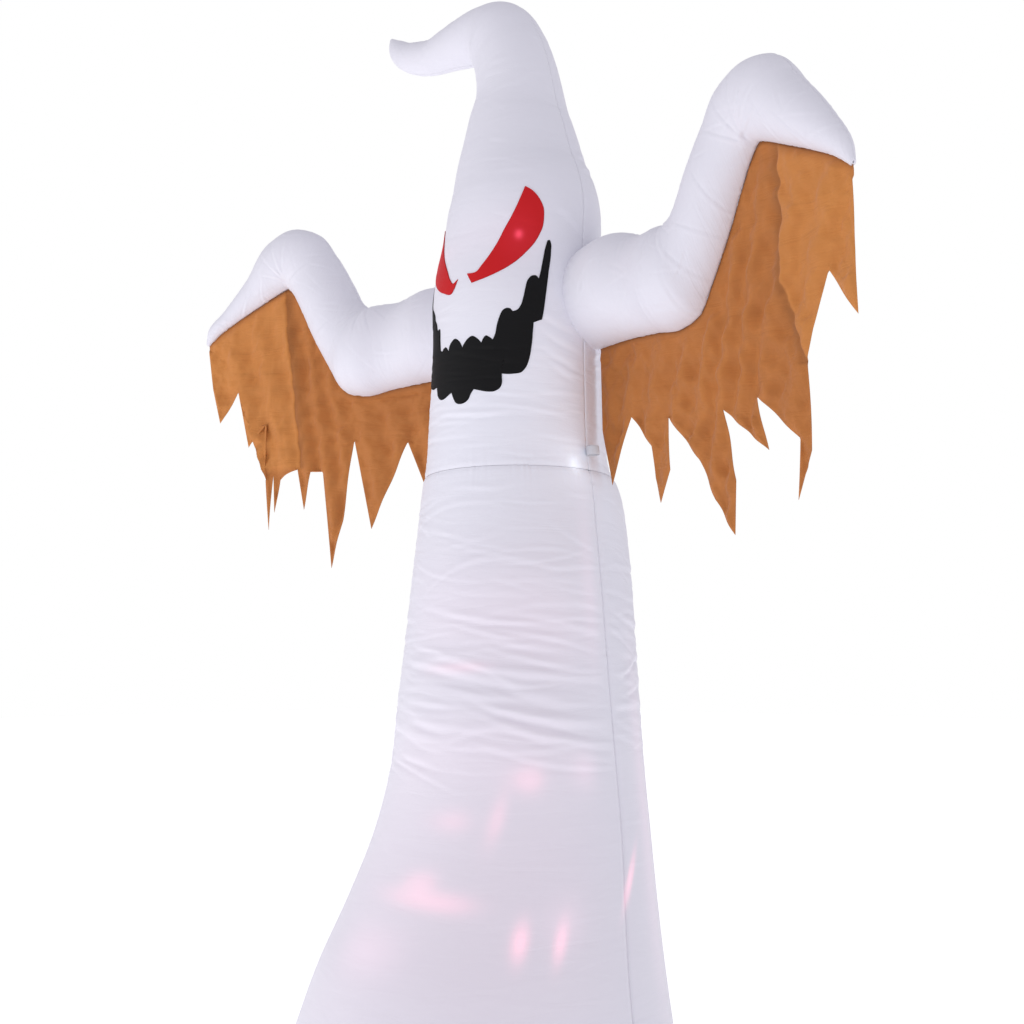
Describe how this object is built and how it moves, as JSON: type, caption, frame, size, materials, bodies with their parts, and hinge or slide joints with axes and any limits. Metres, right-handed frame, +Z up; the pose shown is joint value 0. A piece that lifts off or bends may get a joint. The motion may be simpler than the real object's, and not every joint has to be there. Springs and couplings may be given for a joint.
{
  "type": "inflatable yard ghost",
  "caption": "Tall white inflatable ghost with a side-bent pointed head, raised arms, ragged tan sleeves, slanted red eyes, a wide dark grin, internal lights and a blower at the back.",
  "frame": {"origin": "on the ground, on the floor panel's underside, straight under the neck", "axes": "+Z up, -Y is the way the ghost faces, +X is the ghost's left"},
  "size_m": [2.5011, 1.3464, 3.655],
  "materials": {
    "white_cloth": "matt woven polyester, thin enough to glow",
    "red_cloth": "matt woven polyester, lit from inside",
    "black_cloth": "matt woven polyester",
    "tan_cloth": "crumpled thin cloth",
    "webbing": "woven tape and webbing",
    "black_plastic": "moulded, fine texture",
    "grey_plastic": "moulded",
    "cord_white": "soft cable sheath",
    "clear_plastic": "clear moulded",
    "board": "white lamp board",
    "nickel": "plated"
  },
  "bodies": {
    "ghost": {"arm_left_back_panel": "white_cloth", "arm_left_front_panel": "white_cloth", "arm_right_back_panel": "white_cloth", "arm_right_front_panel": "white_cloth", "blower_collar": "white_cloth", "blower_foot_inner": "black_plastic", "blower_foot_outer": "black_plastic", "blower_grille": "black_plastic", "blower_intake_housing": "black_plastic", "blower_motor": "grey_plastic", "blower_outlet_housing": "black_plastic", "blower_screw_1": "nickel", "blower_screw_2": "nickel", "blower_screw_3": "nickel", "blower_screw_4": "nickel", "collar_drawstring": "webbing", "cord_lock_body": "black_plastic", "cord_lock_spring": "nickel", "cord_tab_1": "webbing", "cord_tab_2": "webbing", "cord_tab_3": "webbing", "eye_left": "red_cloth", "eye_right": "red_cloth", "floor_panel": "white_cloth", "lamp_bulb_left_eye": "clear_plastic", "lamp_bulb_right_eye": "clear_plastic", "lamp_bulb_waist": "clear_plastic", "lamp_socket_left_eye": "black_plastic", "lamp_socket_right_eye": "black_plastic", "lamp_socket_waist": "black_plastic", "light_cord": "cord_white", "light_jack": "black_plastic", "light_plug": "black_plastic", "mains_cable_gland": "black_plastic", "mouth": "black_cloth", "projector_housing": "black_plastic", "projector_lamp_board": "board", "projector_motor": "grey_plastic", "projector_pad": "black_cloth", "skirt_back_panel": "white_cloth", "skirt_front_panel": "white_cloth", "sleeve_rag_left": "tan_cloth", "sleeve_rag_right": "tan_cloth", "stake_tab_1": "webbing", "stake_tab_2": "webbing", "stake_tab_3": "webbing", "stake_tab_4": "webbing", "tether_loop_left": "webbing", "tether_loop_right": "webbing", "upper_body_back_panel": "white_cloth", "upper_body_front_panel": "white_cloth", "zip_tape_left": "webbing", "zip_tape_right": "webbing", "zip_teeth": "grey_plastic"},
    "impeller": {"blower_impeller": "black_plastic"},
    "dome": {"projector_dome": "clear_plastic"},
    "slider": {"zip_slider": "nickel"},
    "pull": {"zip_pull": "nickel"},
    "plunger": {"cord_lock_plunger": "grey_plastic"}
  },
  "joints": [
    {"name": "impeller_spin", "type": "hinge", "parent": "ghost", "child": "impeller", "pos_m": [0, 0.4909, 0.138], "axis": [0, 1, 0], "continuous": true},
    {"name": "projector_spin", "type": "hinge", "parent": "ghost", "child": "dome", "pos_m": [0, -0.15, 0.0736], "axis": [0, 0, 1], "continuous": true},
    {"name": "zip_slide", "type": "slide", "parent": "ghost", "child": "slider", "axis": [0, 0, -1], "range_m": [0, 0.36]},
    {"name": "zip_pull_swing", "type": "hinge", "parent": "slider", "child": "pull", "pos_m": [0, 0.3809, 1.2927], "axis": [1, 0, 0], "range_deg": [0, 170]},
    {"name": "cord_lock_press", "type": "slide", "parent": "ghost", "child": "plunger", "axis": [0, 0, -1], "range_m": [0, 0.004], "stiffness_N_per_m": 200, "springref_m": -0.003, "deforming": ["cord_lock_spring"]}
  ]
}
